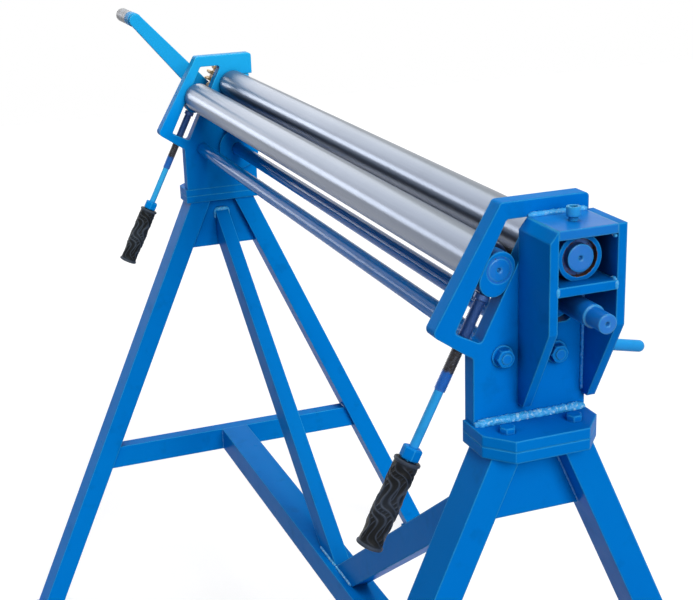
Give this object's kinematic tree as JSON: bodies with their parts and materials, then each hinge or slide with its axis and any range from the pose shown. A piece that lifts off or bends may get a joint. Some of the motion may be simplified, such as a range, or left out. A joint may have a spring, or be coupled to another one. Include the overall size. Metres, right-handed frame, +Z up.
{
  "type": "slip roll machine",
  "caption": "Hand slip roll for sheet metal: three long steel rolls between slotted side plates on an A-frame stand, with crank, gears, lead screws and lift lever.",
  "frame": {"origin": "centre of the four anchor holes on the floor, midway between the side plates", "axes": "+X along the rolls towards the bearing box and stub shaft, -Y towards the operator, +Z up"},
  "size_m": [1.8143, 1.0928, 1.3478],
  "materials": {
    "blue_paint": "gloss",
    "ground_steel": "ground",
    "dark_steel": "oiled thread",
    "zinc_steel": "plated",
    "greased_steel": "greased",
    "bronze": "satin",
    "black_rubber": "matt"
  },
  "bodies": {
    "stand": {"side_plate_near": "blue_paint", "side_plate_far": "blue_paint", "base_plate_near": "blue_paint", "base_plate_far": "blue_paint", "stand_plate_near": "blue_paint", "stand_plate_far": "blue_paint", "leg_front_near": "blue_paint", "leg_front_far": "blue_paint", "leg_rear_near": "blue_paint", "leg_rear_far": "blue_paint", "cross_rail_near": "blue_paint", "cross_rail_far": "blue_paint", "brace_near": "blue_paint", "brace_far": "blue_paint", "gusset_near": "blue_paint", "gusset_far": "blue_paint", "deck_bolts": "blue_paint", "foot_plates": "blue_paint", "beam": "blue_paint", "box_cheek_front": "blue_paint", "box_cheek_rear": "blue_paint", "box_roof": "blue_paint", "box_shelf": "blue_paint", "bearing_ring": "blue_paint", "bearing_bush_near": "bronze", "bearing_housing_far": "blue_paint", "bearing_bush_far": "bronze", "bearing_screws_far": "zinc_steel", "tie_rod": "blue_paint", "tie_rod_nuts": "blue_paint", "tie_rod_washers": "blue_paint"},
    "lift": {"lift_cam_near": "blue_paint", "lift_cam_far": "blue_paint", "lift_shaft": "blue_paint", "lift_lever": "blue_paint", "lift_nuts": "blue_paint", "lift_washers": "blue_paint"},
    "lower_carriage": {"lower_block_near": "blue_paint", "lower_block_far": "blue_paint", "lower_bushes": "bronze"},
    "crank": {"lower_roll": "ground_steel", "lower_gear": "greased_steel", "crank_hub": "blue_paint", "crank_arm": "blue_paint", "crank_pin": "blue_paint"},
    "handle": {"crank_handle": "ground_steel"},
    "top_roll": {"top_roll": "ground_steel", "top_gear": "greased_steel"},
    "front_carriage": {"front_block_near": "blue_paint", "front_block_far": "blue_paint", "front_bushes": "bronze"},
    "front_roll": {"front_roll": "ground_steel"},
    "near_screw": {"lead_screw_near": "dark_steel", "screw_bar_near": "blue_paint", "screw_grip_near": "black_rubber"},
    "far_screw": {"lead_screw_far": "dark_steel", "screw_bar_far": "blue_paint", "screw_grip_far": "black_rubber"},
    "clamp_screw": {"clamp_screw": "blue_paint"}
  },
  "joints": [
    {"name": "lift_turn", "type": "hinge", "parent": "stand", "child": "lift", "pos_m": [0, 0.038, 1.054], "axis": [1, 0, 0], "range_deg": [-11.46, 28.65]},
    {"name": "lower_lift", "type": "slide", "parent": "stand", "child": "lower_carriage", "axis": [0, 0, 1], "range_m": [-0.0008, 0.002]},
    {"name": "crank_turn", "type": "hinge", "parent": "lower_carriage", "child": "crank", "pos_m": [0, 0.036, 1.131], "axis": [1, 0, 0], "continuous": true},
    {"name": "handle_spin", "type": "hinge", "parent": "crank", "child": "handle", "pos_m": [-0.87, -0.1402, 1.33227], "axis": [1, 0, 0], "continuous": true},
    {"name": "top_turn", "type": "hinge", "parent": "stand", "child": "top_roll", "pos_m": [0, 0.036, 1.1955], "axis": [1, 0, 0], "continuous": true},
    {"name": "near_screw_turn", "type": "hinge", "parent": "front_carriage", "child": "near_screw", "pos_m": [0.7175, -0.0863, 1.0895], "axis": [0, 0.4571, 0.8894], "range_deg": [-8640, 6480]},
    {"name": "far_screw_turn", "type": "hinge", "parent": "front_carriage", "child": "far_screw", "pos_m": [-0.7175, -0.0863, 1.0895], "axis": [0, 0.4571, 0.8894], "range_deg": [-8640, 6480]},
    {"name": "front_slide", "type": "slide", "parent": "stand", "child": "front_carriage", "axis": [0, 0.4571, 0.8894], "range_m": [-0.048, 0.036]},
    {"name": "front_roll_turn", "type": "hinge", "parent": "front_carriage", "child": "front_roll", "pos_m": [0, -0.04292, 1.17391], "axis": [1, 0, 0], "continuous": true},
    {"name": "clamp_turn", "type": "hinge", "parent": "stand", "child": "clamp_screw", "pos_m": [0.772, 0.036, 1.24], "axis": [0, 0, 1], "range_deg": [0, 1080]}
  ],
  "couplings": [
    {"joint": "lift_turn", "follows": "lower_lift", "rad_per_m": 250},
    {"joint": "top_turn", "follows": "crank_turn", "ratio": -1},
    {"joint": "near_screw_turn", "follows": "front_slide", "rad_per_m": 3141.6},
    {"joint": "far_screw_turn", "follows": "front_slide", "rad_per_m": 3141.6}
  ]
}
